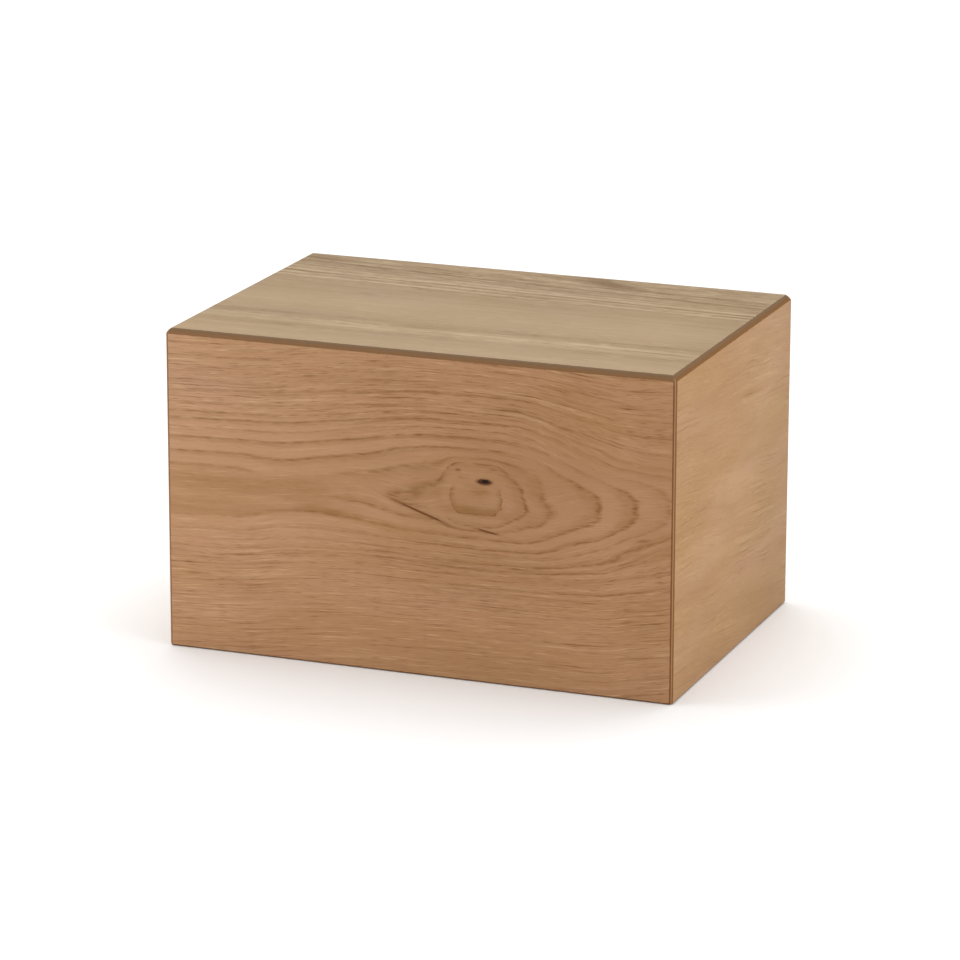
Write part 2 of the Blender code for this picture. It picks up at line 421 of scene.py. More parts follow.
@dataclass(frozen=True)
class KnotFigure:
    """The front's figure: rings round a knot, which stretch into a tail to the left.

    A ring's number is its height above or below the figure's middle line at the knot.
    """

    # Where the middle line runs, as (millimetres right, millimetres up)
    middle: Points = (
        (0, 74.5), (33, 75.9), (55, 78.3), (78, 80.3), (110, 81.5),
        (146, 82), (190, 82), (214, 84.5), (232, 87.5),
    )
    # The ring number along that line, as (millimetres right, ring number)
    outer_pinch: Points = (
        (0, 14.5), (33, 15), (55, 17.3), (78, 15.5), (93, 13), (115, 5.5), (128, 2), (142, 0),
        (158, 4), (167, 9), (183, 19), (198, 25), (214, 30.5), (232, 33.5),
    )
    # What is added to it close to the line, so that the inner rings close round the knot
    inner_pinch: Points = (
        (0, 0), (62, 0), (73, 3.2), (80, 4.7), (88, 6.6), (95, 8.6), (103, 10.5), (110, 12), (117, 13),
        (123, 13.2), (131, 9), (143.5, 0), (155, 8.8), (165, 11.9), (170, 10.6), (174, 8.9), (178, 5.1),
        (183, -6.9), (190, -11.3), (198, -14.5), (206, -15.9), (214, -17.2), (228, -16.3), (232, -15.9),
    )
    inner_reach: float = 15.5
    lower_squeeze: float = 1.1
    lower_reach: float = 31.0
    upper_reach: float = 75.0
    # The dark ring lines, as (ring number, strength)
    rings: Points = (
        (8.6, 1.4), (14.3, 1.0), (16.7, 0.65), (20.4, 0.95), (25.2, 0.9), (28.7, 0.5), (32.3, 0.75),
        (35.0, 0.6), (38.5, 0.4), (44.0, 0.5), (47.7, 0.3), (52.0, 0.3),
    )
    ring_width: float = 0.34
    # The brown between them, which ends sharply at each line, as (ring number, strength)
    shading: Points = (
        (0.0, 0.25), (3.0, 0.0), (5.5, 0.15), (8.2, 0.85), (9.3, 0.0), (12.2, 0.1), (14.2, 0.55),
        (14.9, 0.1), (16.6, 0.6), (17.4, 0.0), (19.0, 0.2), (20.4, 0.75), (21.2, 0.0), (23.6, 0.2),
        (25.2, 0.8), (26.0, 0.0), (28.7, 0.3), (29.3, 0.0), (31.0, 0.3), (32.3, 0.75), (33.0, 0.1),
        (35.0, 0.6), (36.0, 0.0), (38.5, 0.35), (39.5, 0.1), (42.5, 0.2), (44.0, 0.6), (45.0, 0.1),
        (48.0, 0.3), (56.0, 0.2),
    )
    # Where the rings sag below their even course, and where they bulge above it
    sags: tuple[Spot, ...] = (
        Spot(172.0, 79.0, 26.0, 24.0, strength=5.0),
        Spot(112.0, 79.0, 28.0, 14.0, strength=4.5),
    )
    bulge: Spot = Spot(176.0, 94.0, 34.0, 16.0, strength=2.1)
    lower_slope: float = 0.022
    # How dark the ring lines, the brown between them and the tail are
    line_weight: float = 0.72
    shade_weight: float = 0.42
    tail_weight: float = 0.28
    grain: Grain = Grain(seed=7.0, line=0.68, fleck=0.95)
    # Wide darker and paler patches of the board: darker heartwood round the knot, then painted light that
    # lifts the foot of the board, then painted shade that darkens its right end
    heartwood_and_painted_light: tuple[Spot, ...] = (
        Spot(168.0, 90.0, 130.0, 80.0, strength=0.42),
        Spot(125.0, 10.0, 210.0, 44.0, strength=-0.30),
        Spot(232.0, 72.0, 46.0, 200.0, strength=0.20),
    )
    # Places where the ring lines fade out
    gaps: tuple[Spot, ...] = (
        Spot(125.0, 75.5, 20.0, 7.0, -20.0, 1.0),
        Spot(168.0, 99.0, 12.0, 10.0, -40.0, 0.7),
        Spot(196.0, 97.0, 22.0, 9.0, -25.0, 0.5),
    )
    honey_marks: tuple[Spot, ...] = (
        Spot(143.9, 84.6, 8.5, 4.0, strength=2.0),
        Spot(141.5, 75.4, 26.0, 5.0, strength=1.5),
        Spot(119.0, 84.0, 14.0, 5.0, 20.0, 1.0),
        Spot(60.0, 77.0, 90.0, 12.0, 2.0, 0.6),
        Spot(92.0, 66.0, 60.0, 4.0, -8.0, 0.8),
    )
    # Dark marks: the grain along both cracks, then pin knots and pores
    marks: tuple[Spot, ...] = (
        Spot(118.2, 72.5, 31.0, 1.4, -18.4, 1.0),
        Spot(148.1, 67.1, 14.0, 1.2, -9.7, 0.9),
        Spot(134.8, 92.9, 2.4, 1.2, strength=1.6),
        Spot(150.6, 94.4, 3.2, 1.0, strength=0.8),
        Spot(136.0, 89.7, 2.6, 0.9, strength=0.6),
        Spot(217.5, 70.3, 6.0, 1.2, 10.0, 1.0),
        Spot(12.5, 34.3, 9.0, 1.1, 3.0, 0.8),
    )

    def ring_number(self, sheet: NodeSheet, u: Value, v: Value) -> tuple[Value, Value]:
        """The ring field, and the height from the middle line, at a point.

        Args:
            sheet: the material that the nodes go into.
            u: millimetres along the face.
            v: millimetres up the face.

        Returns:
            The ring number and the height.
        """
        rise = v - sheet.curve(u, self.middle) + (115.0 - u) * v.rise(60.0, 25.0) * self.lower_slope
        for sag in self.sags:
            rise = rise + sag.mask(u, v)
        below = (rise * (1.0 / self.lower_reach)).at_most(0.0)
        above = (rise * (1.0 / self.upper_reach)).at_least(0.0)
        spread = (-(below * below) - above**4.0).exp()
        height = rise + (rise * (self.lower_squeeze - 1.0)).at_most(0.0)
        outer = sheet.curve(u, self.outer_pinch)
        inner = sheet.curve(u, self.inner_pinch)
        near = abs(height * (1.0 / self.inner_reach))
        pinch = outer * outer * spread + inner * abs(inner) * (-(near**4.0)).exp()
        return (height * height + pinch).at_least(0.0).root() - self.bulge.mask(u, v), height

    def kept(self, u: Value, v: Value, ring: Value, height: Value) -> Value:
        """How much of the ring lines shows at a point.

        Args:
            u: millimetres along the face.
            v: millimetres up the face.
            ring: the ring number.
            height: millimetres above the middle line.

        Returns:
            The share that shows.
        """
        closed_tail = 1.0 - u.rise(100.0, 80.0) * abs(height).rise(8.0, 3.0)
        lost_below = 1.0 - u.rise(75.0, 50.0) * height.bell(-6.0, 9.0)
        open_top = 1.0 - ring.rise(11.5, 10.0) * height.rise(2.5, 6.0)
        faint_left = 1.0 - u.rise(140.0, 95.0) * height.rise(-12.0, -18.0) * 0.55
        faint_right = 1.0 - u.rise(150.0, 175.0) * height.rise(6.0, 13.0) * 0.45
        kept = closed_tail * lost_below * open_top * faint_left * faint_right
        for gap in self.gaps:
            kept = kept * (1.0 - gap.mask(u, v))
        return kept

    def tail(self, sheet: NodeSheet, u: Value, v: Value, height: Value) -> Value:
        """The brown smear that the rings leave at the left.

        Args:
            sheet: the material that the nodes go into.
            u: millimetres along the face.
            v: millimetres up the face.
            height: millimetres above the middle line.

        Returns:
            The smear's share of the point.
        """
        smear = u.rise(105.0, 62.0) * height.rise(-17.0, -12.0) * height.rise(7.0, 2.5)
        patchy = sheet.noise(u * 0.02, v * 0.12, 15.0, 3.0) * 1.1 + 0.5
        return smear * patchy.at_least(0.0)

    def pattern(self, sheet: NodeSheet, u: Value, v: Value) -> Pattern:
        """The whole figure at a point.

        Args:
            sheet: the material that the nodes go into.
            u: millimetres right of the face's left edge.
            v: millimetres above its foot.

        Returns:
            The figure's dark, pale and honey shares.
        """
        ragged = sheet.noise(u * 0.06, v * 0.34, 3.0, 2.0) * 2.0 * u.rise(85.0, 135.0)
        sway = sheet.noise(u * 0.03, v * 0.05, 5.0) * 0.7 + sheet.noise(u * 0.22, v * 0.6, 8.0) * 0.35
        sway = sway * (v.rise(25.0, 60.0) * 0.7 + 0.3)
        ring, height = self.ring_number(sheet, u + ragged, v + sway)
        follow = abs(height).rise(8.0, 16.0)
        signed = ring * (height * 1000.0).at_least(-1.0).at_most(1.0)
        across = height + (signed - height) * follow
        lines = 0.0
        for number, strength in self.rings:
            lines = ring.bell(number, self.ring_width) * strength + lines
        kept = self.kept(u, v, ring, height)
        breaks = sheet.noise(u * 0.16, across * 0.6 + v * 0.2, 6.0, 3.0)
        lines = lines * (breaks * 2.3 + 0.72).at_least(0.0) * kept
        shade = sheet.curve(ring, self.shading) * (breaks * 0.6 + 0.55) * kept
        outside = abs(height).rise(16.0, 34.0)
        tail = self.tail(sheet, u, v, height)
        fine = self.grain.dark(sheet, u, across, outside * 0.75 + 0.25)
        dark = lines * self.line_weight + shade * self.shade_weight
        dark = dark + fine * (outside * 0.7 + 0.3) + tail * self.tail_weight
        # The wide patches, with their painted light and shade, then the dark marks
        for mark in (*self.heartwood_and_painted_light, *self.marks):
            dark = dark + mark.mask(u, v)
        pale = self.grain.pale(sheet, u, across) * (outside * 0.55 + 0.6)
        honey = shade * 1.4 + tail * 0.9 + lines * 0.3
        patchy = sheet.noise(u * 0.12, v * 0.35, 17.0, 3.0) * 0.8 + 0.8
        for mark in self.honey_marks:
            honey = mark.mask(u, v) * patchy + honey
        return Pattern(u, across, dark, pale, honey)


@dataclass(frozen=True)
class Streak:
    """A line that runs the length of a board: where it starts, how wide it is and how strong."""

    start: float
    width: float
    strength: float


@dataclass(frozen=True)
class StreakFigure:
    """The top's figure: straight grain that fans slightly, with pale and dark streaks at the back."""

    fan: float = 0.080
    fan_from: float = 18.0
    fan_reach: float = 38.0
    dark_streaks: tuple[Streak, ...] = (
        Streak(9.0, 2.2, 0.35),
        Streak(16.5, 1.4, 1.5),
        Streak(21.0, 0.7, 0.6),
        Streak(25.5, 0.8, 0.6),
        Streak(36.6, 1.2, 0.9),
        Streak(42.0, 0.9, 0.8),
        Streak(49.0, 1.0, 0.3),
        Streak(58.0, 5.0, 0.35),
        Streak(69.0, 1.5, 0.3),
        Streak(113.5, 3.2, 0.55),
        Streak(134.0, 3.0, 0.45),
    )
    pale_streaks: tuple[Streak, ...] = (
        Streak(28.0, 0.7, 0.7),
        Streak(33.5, 1.2, 1.4),
        Streak(39.3, 0.6, 0.9),
        Streak(45.3, 0.8, 2.4),
        Streak(122.5, 2.2, 0.6),
        Streak(128.0, 2.6, 0.4),
        Streak(90.0, 14.0, 0.25),
        Streak(152.0, 6.0, 0.3),
    )
    marks: tuple[Spot, ...] = (
        Spot(147.0, 10.0, 26.0, 10.0, 25.0, 1.5),
        Spot(158.0, 17.0, 34.0, 4.5, 9.0, 1.1),
        Spot(205.0, 22.0, 70.0, 3.0, 3.0, 0.8),
        Spot(56.0, 68.5, 9.0, 3.0, 5.0, 0.7),
        Spot(8.0, 9.0, 40.0, 16.0, 0.0, 0.6),
        # Painted shade: darkens the right end of the top
        Spot(228.0, 95.0, 56.0, 160.0, strength=0.22),
    )
    grain: Grain = Grain(seed=23.0, line=1.1, dash=1.1, fleck=1.5, wave_mm=5.0)

    def pattern(self, sheet: NodeSheet, u: Value, v: Value) -> Pattern:
        """The whole figure at a point.

        Args:
            sheet: the material that the nodes go into.
            u: millimetres right of the face's left edge.
            v: millimetres in from its back edge.

        Returns:
            The figure's dark and pale shares.
        """
        sway = sheet.noise(u * 0.02, v * 0.05, 21.0) * 1.6
        fanned = v - u * 0.06
        bend = u * ((fanned - self.fan_from) * (-1.0 / self.fan_reach)).exp().at_most(1.0) * self.fan
        across = v + sway - bend
        breaks = sheet.noise(u * 0.05, across * 0.8, 22.0, 3.0)
        dark, pale = 0.0, 0.0
        for streak in self.dark_streaks:
            dark = across.bell(streak.start, streak.width) * streak.strength + dark
        for streak in self.pale_streaks:
            pale = across.bell(streak.start, streak.width) * streak.strength + pale
        figured = across.rise(62.0, 40.0) + across.bell(122.0, 14.0) * 0.6
        dark = dark * (breaks * 1.3 + 0.85).at_least(0.1)
        dark = dark + self.grain.dark(sheet, u, across) * (figured * 0.85 + 0.15)
        pale = pale * (breaks * 0.7 + 1.1)
        pale = pale + self.grain.pale(sheet, u * 1.4, across) * (figured * 1.6 + 0.35)
        for mark in self.marks:
            dark = dark + mark.mask(u, v)
        return Pattern(u, across, dark, pale)


@dataclass(frozen=True)
class PlainFigure:
    """Quiet straight grain that slopes across the face, for the ends and the back."""

    grain: Grain
    slope: float = 0.0
    band_mm: float = 26.0
    bands: float = 0.5

    def pattern(self, sheet: NodeSheet, u: Value, v: Value) -> Pattern:
        """The whole figure at a point.

        Args:
            sheet: the material that the nodes go into.
            u: millimetres along the face.
            v: millimetres up the face.

        Returns:
            The figure's dark and pale shares.
        """
        seed = self.grain.seed
        sway = sheet.noise(u * 0.015, v * 0.03, seed + 5.0) * 3.0
        across = v + u * self.slope + sway
        band = sheet.noise(u * 0.012, across * (2.0 / self.band_mm), seed + 6.0, 2.0)
        patch = sheet.noise(u * 0.03, v * 0.03, seed + 7.0, 2.0).rise(-0.6, 0.5)
        dark = self.grain.dark(sheet, u, across) * patch + band.rise(0.0, 0.6) * self.bands
        pale = self.grain.pale(sheet, u, across) * patch * 0.75 + (-band).rise(0.0, 0.6) * self.bands
        return Pattern(u, across, dark, pale)


Figure = Union[KnotFigure, StreakFigure, PlainFigure]


@dataclass(frozen=True)
class VeneerFinish:
    """Satin veneer on a fibreboard core, which shows dark where the edges are sanded through."""

    ground: Rgb = (0.396, 0.208, 0.095)
    late: Rgb = (0.205, 0.082, 0.023)
    honey: Rgb = (0.292, 0.141, 0.042)
    light: Rgb = (0.500, 0.302, 0.153)
    pore: Rgb = (0.152, 0.066, 0.023)
    pink: Rgb = (0.432, 0.233, 0.124)
    stain: Rgb = (0.192, 0.092, 0.033)
    arris: Rgb = (0.160, 0.058, 0.014)
    raw_core: Rgb = (0.36, 0.24, 0.14)
    # The light line along the upright mitres: glue, and partly a painted highlight of the rounded corner
    glue_and_highlight: Rgb = (0.42, 0.24, 0.12)
    roughness: float = 0.52
    gloss: float = 0.24
    veneer_mm: float = 0.10
    stained_mm: float = 4.0
    arris_mm: float = 1.6
    glue_highlight_mm: float = 0.12
    ragged_mm: float = 0.09
    # How far the colours above show: 1 is fully
    honey_share: float = 0.7
    light_share: float = 0.7
    fibre_share: float = 0.26
    late_share: float = 0.55
    pore_stain: float = 0.30
    glue_highlight_share: float = 0.75
    # How much lighter or darker the noises make a colour
    cloud_contrast: float = 0.07
    fibre_contrast: float = 0.05
    felt_contrast: float = 0.30
    # What is added to the roughness
    fibre_matt: float = 0.03
    pore_matt: float = 0.12
    core_matt: float = 0.10
    # The relief's heights
    fibre_relief_mm: float = 0.006
    pore_relief_mm: float = 0.018
    line_relief_mm: float = 0.004
    core_relief_mm: float = 0.012

    def wood_colour(
        self, sheet: NodeSheet, pattern: Pattern, fibres: Value, pore_share: Value, u: Value, v: Value
    ) -> Colour:
        """The veneer's own colour at a point.

        Args:
            sheet: the material that the nodes go into.
            pattern: what the wood figure says.
            fibres: the fine fibre noise.
            pore_share: the share of the pores.
            u: millimetres along the face.
            v: millimetres up the face.

        Returns:
            The colour of the veneer.
        """
        cloud = sheet.noise(u * 0.018, v * 0.03, 35.0, 2.0)
        blush = sheet.noise(u * 0.012, v * 0.035, 36.0, 2.0).rise(-0.3, 0.45)
        colour = sheet.mix(self.ground, self.pink, blush)
        if isinstance(pattern.honey, Value):
            colour = sheet.mix(colour, self.honey, pattern.honey * self.honey_share)
        paleness = pattern.pale * self.light_share + fibres * self.fibre_share
        colour = sheet.mix(colour, self.light, paleness)
        colour = sheet.mix(colour, self.late, pattern.dark * self.late_share)
        colour = sheet.mix(colour, self.pore, pore_share * self.pore_stain)
        contrast = cloud * self.cloud_contrast + fibres * self.fibre_contrast
        return sheet.scale(colour, contrast + 1.0)

    def core_colour(
        self, sheet: NodeSheet, wood: "BoardWood", place: tuple[Value, Value, Value], depth: Value,
        felt: Value,
    ) -> Colour:
        """The fibreboard's colour at a point: stained near the face, with the mitre's light line, which is
        glue and partly a painted highlight of the rounded corner.

        Args:
            sheet: the material that the nodes go into.
            wood: where the board's face lies.
            place: the point's X, Y and Z.
            depth: millimetres behind the face.
            felt: the fine felt noise.

        Returns:
            The colour under the veneer.
        """
        x, y, z = place
        core = sheet.mix(self.stain, self.raw_core, depth.rise(self.stained_mm, self.stained_mm + 1.0))
        core = sheet.scale(core, felt * self.felt_contrast + 1.0)
        if wood.side is Side.TOP:
            return core
        joint = wood.upright_joint(x, y, depth)
        shallow = depth.rise(self.stained_mm, self.stained_mm - 1.0)
        top_edge = wood.high.z * PER_METRE
        below_top = z.rise(top_edge - 2.0, top_edge - 6.0)
        edge = joint.rise(self.arris_mm + 1.0, self.arris_mm) * shallow
        core = sheet.mix(core, self.arris, edge * below_top)
        # A light line along the mitre: glue, and partly a painted highlight of the rounded corner
        seam = joint.rise(self.glue_highlight_mm + 0.14, self.glue_highlight_mm) * shallow
        return sheet.mix(core, self.glue_and_highlight, seam * self.glue_highlight_share)

    def material(self, name: str, wood: "BoardWood") -> bpy.types.Material:
        """The finished material of one board.

        Args:
            name: the material's name.
            wood: where the board's face lies and which figure it has.

        Returns:
            The material.
        """
        sheet = NodeSheet(name)
        sheet.shader.inputs["Specular IOR Level"].default_value = self.gloss
        x, y, z = sheet.coordinates()
        u, v, depth = wood.place(x, y, z)
        pattern = wood.figure.pattern(sheet, u, v)
        fibres = sheet.noise(pattern.along * 0.16, pattern.across * 2.6, 31.0, 3.0)
        pores = sheet.noise(pattern.along * 0.22, pattern.across * 4.2, 33.0, 1.0)
        pore_share = (pores + pattern.dark * 0.22).rise(0.34, 0.55)
        colour = self.wood_colour(sheet, pattern, fibres, pore_share, u, v)
        worn = depth + sheet.noise(x * 0.25, z * 0.25 + y * 0.25, 37.0, 3.0) * self.ragged_mm
        bare = worn.rise(self.veneer_mm * 0.75, self.veneer_mm * 1.25)
        felt = sheet.noise(x * 1.6, y * 1.6 + z * 1.7, 39.0, 3.0)
        core = self.core_colour(sheet, wood, (x, y, z), depth, felt)
        colour = sheet.mix(colour, core, bare)
        for flaw in wood.flaws:
            colour = flaw.paint(sheet, colour, u, v)
        sheet.feed(sheet.shader.inputs["Base Color"], colour)
        matt = fibres * self.fibre_matt + pore_share * self.pore_matt + bare * self.core_matt
        sheet.feed(sheet.shader.inputs["Roughness"], matt + self.roughness)
        relief = fibres * self.fibre_relief_mm - pore_share * self.pore_relief_mm
        relief = (relief - pattern.dark * self.line_relief_mm) * (1.0 - bare)
        sheet.bump(relief + bare * felt * self.core_relief_mm)
        return sheet.material


@dataclass(frozen=True)
class Flaw:
    """A pit through the front's veneer: ragged round a knot hole, pointed at a crack's ends."""

    name: str
    x: float
    z: float
    length: float
    width: float
    tilt: float
    depth: float
    rim: Rgb
    core: Rgb
    core_share: float = 0.5
    rim_share: float = 0.85
    pointed: bool = False
    steps: int = 44
    past_face: float = 0.3

    def outline(self, shrink: float) -> list[tuple[float, float]]:
        """The pit's outline in millimetres round its own middle, drawn in by a share.

        Args:
            shrink: how far the outline is drawn in, from 0 to 1.

        Returns:
            Its points.
        """
        points = []
        for step in range(self.steps):
            turn = math.tau * step / self.steps
            ragged = 1.0 + 0.09 * math.sin(5.0 * turn + self.x) + 0.06 * math.sin(11.0 * turn + self.z)
            narrow = abs(math.sin(turn)) ** (0.75 if self.pointed else 0.0)
            u = self.length / 2 * math.cos(turn) * (1.0 - shrink * 0.3)
            v = self.width / 2 * math.sin(turn) * narrow * ragged * (1.0 - shrink)
            points.append((u, v))
        return points

    def cutter(self, low: Vector) -> bpy.types.Object:
        """The tapered solid that cuts the pit.

        Args:
            low: the box's lowest corner, where the front's millimetres start.

        Returns:
            The cutter, which isn't shown.
        """
        bm = bmesh.new()
        levels = ((-self.past_face, 0.0), (0.0, 0.0), (self.depth * 0.6, 0.2), (self.depth, 0.6))
        loops = []
        for inward, shrink in levels:
            loops.append([bm.verts.new((u, inward, v)) for u, v in self.outline(shrink)])
        for outer, inner in zip(loops, loops[1:]):
            for step in range(self.steps):
                after = (step + 1) % self.steps
                bm.faces.new((outer[step], outer[after], inner[after], inner[step]))
        bm.faces.new(loops[0])
        bm.faces.new(loops[-1])
        bmesh.ops.scale(bm, vec=(MM, MM, MM), verts=bm.verts)
        tilt = Matrix.Rotation(math.radians(self.tilt), 3, "Y")
        bmesh.ops.rotate(bm, matrix=tilt, verts=bm.verts)
        place = Vector((low.x + self.x * MM, low.y, low.z + self.z * MM))
        bmesh.ops.translate(bm, vec=place, verts=bm.verts)
        bmesh.ops.recalc_face_normals(bm, faces=bm.faces)
        return new_object(self.name + "_cutter", bm)

    def paint(self, sheet: NodeSheet, colour: Colour, u: Value, v: Value) -> Colour:
        """Stains the wood round the pit and darkens the pit, which for the knot is partly painted shade of
        the hole.

        Args:
            sheet: the material that the nodes go into.
            colour: the wood's colour before.
            u: millimetres along the face.
            v: millimetres up the face.

        Returns:
            The colour with the pit.
        """
        turn = math.radians(-self.tilt)
        du, dv = u - self.x, v - self.z
        far = (du * math.cos(turn) + dv * math.sin(turn)) * (2.0 / self.length)
        wide = (dv * math.cos(turn) - du * math.sin(turn)) * (2.0 / self.width)
        ragged = sheet.noise(u * 1.3, v * 2.4, self.x, 2.0) * 0.5 + 1.0
        distance = (far * far + wide * wide) * ragged
        colour = sheet.mix(colour, self.rim, distance.rise(2.4, 0.8) * self.rim_share)
        return sheet.mix(colour, self.core, distance.rise(self.core_share * 2.0, self.core_share * 0.6))


KNOT_RIM: Rgb = (0.150, 0.058, 0.020)
# The knot pit's inside, near black: the knot's dark wood and painted shade of the hole
KNOT_CORE_AND_SHADE: Rgb = (0.010, 0.006, 0.006)
KNOT_PIT = Flaw("knot_hole", 146.7, 88.7, 6.2, 2.3, 0.0, 1.2, KNOT_RIM, KNOT_CORE_AND_SHADE, core_share=0.22)
CRACK_RIM: Rgb = (0.230, 0.095, 0.028)
CRACK_CORE: Rgb = (0.220, 0.080, 0.021)
CRACKS = (
    Flaw("long_crack", 118.2, 72.5, 20.6, 0.8, 18.4, 0.4, CRACK_RIM, CRACK_CORE, pointed=True),
    Flaw("short_crack", 148.1, 67.1, 8.9, 0.7, 9.7, 0.4, CRACK_RIM, CRACK_CORE, pointed=True),
)
FLAWS = (KNOT_PIT, *CRACKS)


@dataclass(frozen=True)
class BoardWood:
    """How the millimetres of a board's face lie in the box, with its figure and flaws."""

    side: Side
    figure: Figure
    low: Vector
    high: Vector
    flaws: tuple[Flaw, ...] = ()

    def place(self, x: Value, y: Value, z: Value) -> tuple[Value, Value, Value]:
        """A point's millimetres along the face, up it and behind it.

        Args:
            x: the point's X in millimetres.
            y: its Y.
            z: its Z.

        Returns:
            The millimetres along, up and behind.
        """
        low, high = self.low * PER_METRE, self.high * PER_METRE
        places = {
            Side.FRONT: lambda: (x - low.x, z, y - low.y),
            Side.BACK: lambda: (high.x - x, z, high.y - y),
            Side.LEFT: lambda: (high.y - y, z, x - low.x),
            Side.RIGHT: lambda: (y - low.y, z, high.x - x),
            Side.TOP: lambda: (x - low.x, high.y - y, high.z - z),
        }
        return places[self.side]()

    def upright_joint(self, x: Value, y: Value, depth: Value) -> Value:
        """A point's millimetres from the nearest upright mitre.

        Args:
            x: the point's X in millimetres.
            y: its Y.
            depth: millimetres behind the face.

        Returns:
            The distance.
        """
        high = self.high * PER_METRE
        sideways = high.x - abs(x) if self.side in (Side.FRONT, Side.BACK) else high.y - abs(y)
        return (sideways - depth) * math.sqrt(0.5)


def new_object(name: str, bm: bmesh.types.BMesh) -> bpy.types.Object:
    """Ends a bmesh as an object in the scene.

    Args:
        name: the new object's name.
        bm: its shape, which is freed.

    Returns:
        The object.
    """
    mesh = bpy.data.meshes.new(name)
    bm.to_mesh(mesh)
    bm.free()
    made = bpy.data.objects.new(name, mesh)
    bpy.context.scene.collection.objects.link(made)
    return made


def block(name: str, low: Vector, high: Vector) -> bpy.types.Object:
    """A rectangular block between two corners.

    Args:
        name: the new object's name.
        low: its lowest corner.
        high: its highest corner.

    Returns:
        The block.
    """
    bm = bmesh.new()
    bmesh.ops.create_cube(bm, size=1.0)
    bmesh.ops.scale(bm, vec=high - low, verts=bm.verts)
    bmesh.ops.translate(bm, vec=(low + high) / 2, verts=bm.verts)
    return new_object(name, bm)


def settle(made: bpy.types.Object) -> None:
    """Applies an object's modifiers, so that its mesh is its final shape.

    Args:
        made: the object.
    """
    graph = bpy.context.evaluated_depsgraph_get()
    finished = bpy.data.meshes.new_from_object(made.evaluated_get(graph))
    made.modifiers.clear()
    made.data = finished


def subtract(made: bpy.types.Object, cutters: Sequence[bpy.types.Object]) -> None:
    """Cuts shapes out of an object and applies the cuts.

    Args:
        made: the object that is cut.
        cutters: the shapes to cut out.
    """
    for cutter in cutters:
        cut = made.modifiers.new(cutter.name, "BOOLEAN")
        cut.operation = "DIFFERENCE"
        cut.solver = "EXACT"
        cut.object = cutter
    settle(made)


def soften(made: bpy.types.Object, degrees: float = 32.0) -> None:
    """Shades an object smooth, except at corners sharper than an angle."""
    made.data.shade_smooth()
    made.data.set_sharp_from_angle(angle=math.radians(degrees))


def dress(made: bpy.types.Object, material: bpy.types.Material, node: str) -> None:
    """Gives a piece its material and lets it stand for its CAD node.

    Args:
        made: the piece.
        material: its finish.
        node: the CAD node that it replaces.
    """
    made.data.materials.clear()
    made.data.materials.append(material)
    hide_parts(node)
    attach(made, "root")
    log.info("%s: %d faces, in place of %s", made.name, len(made.data.polygons), node)


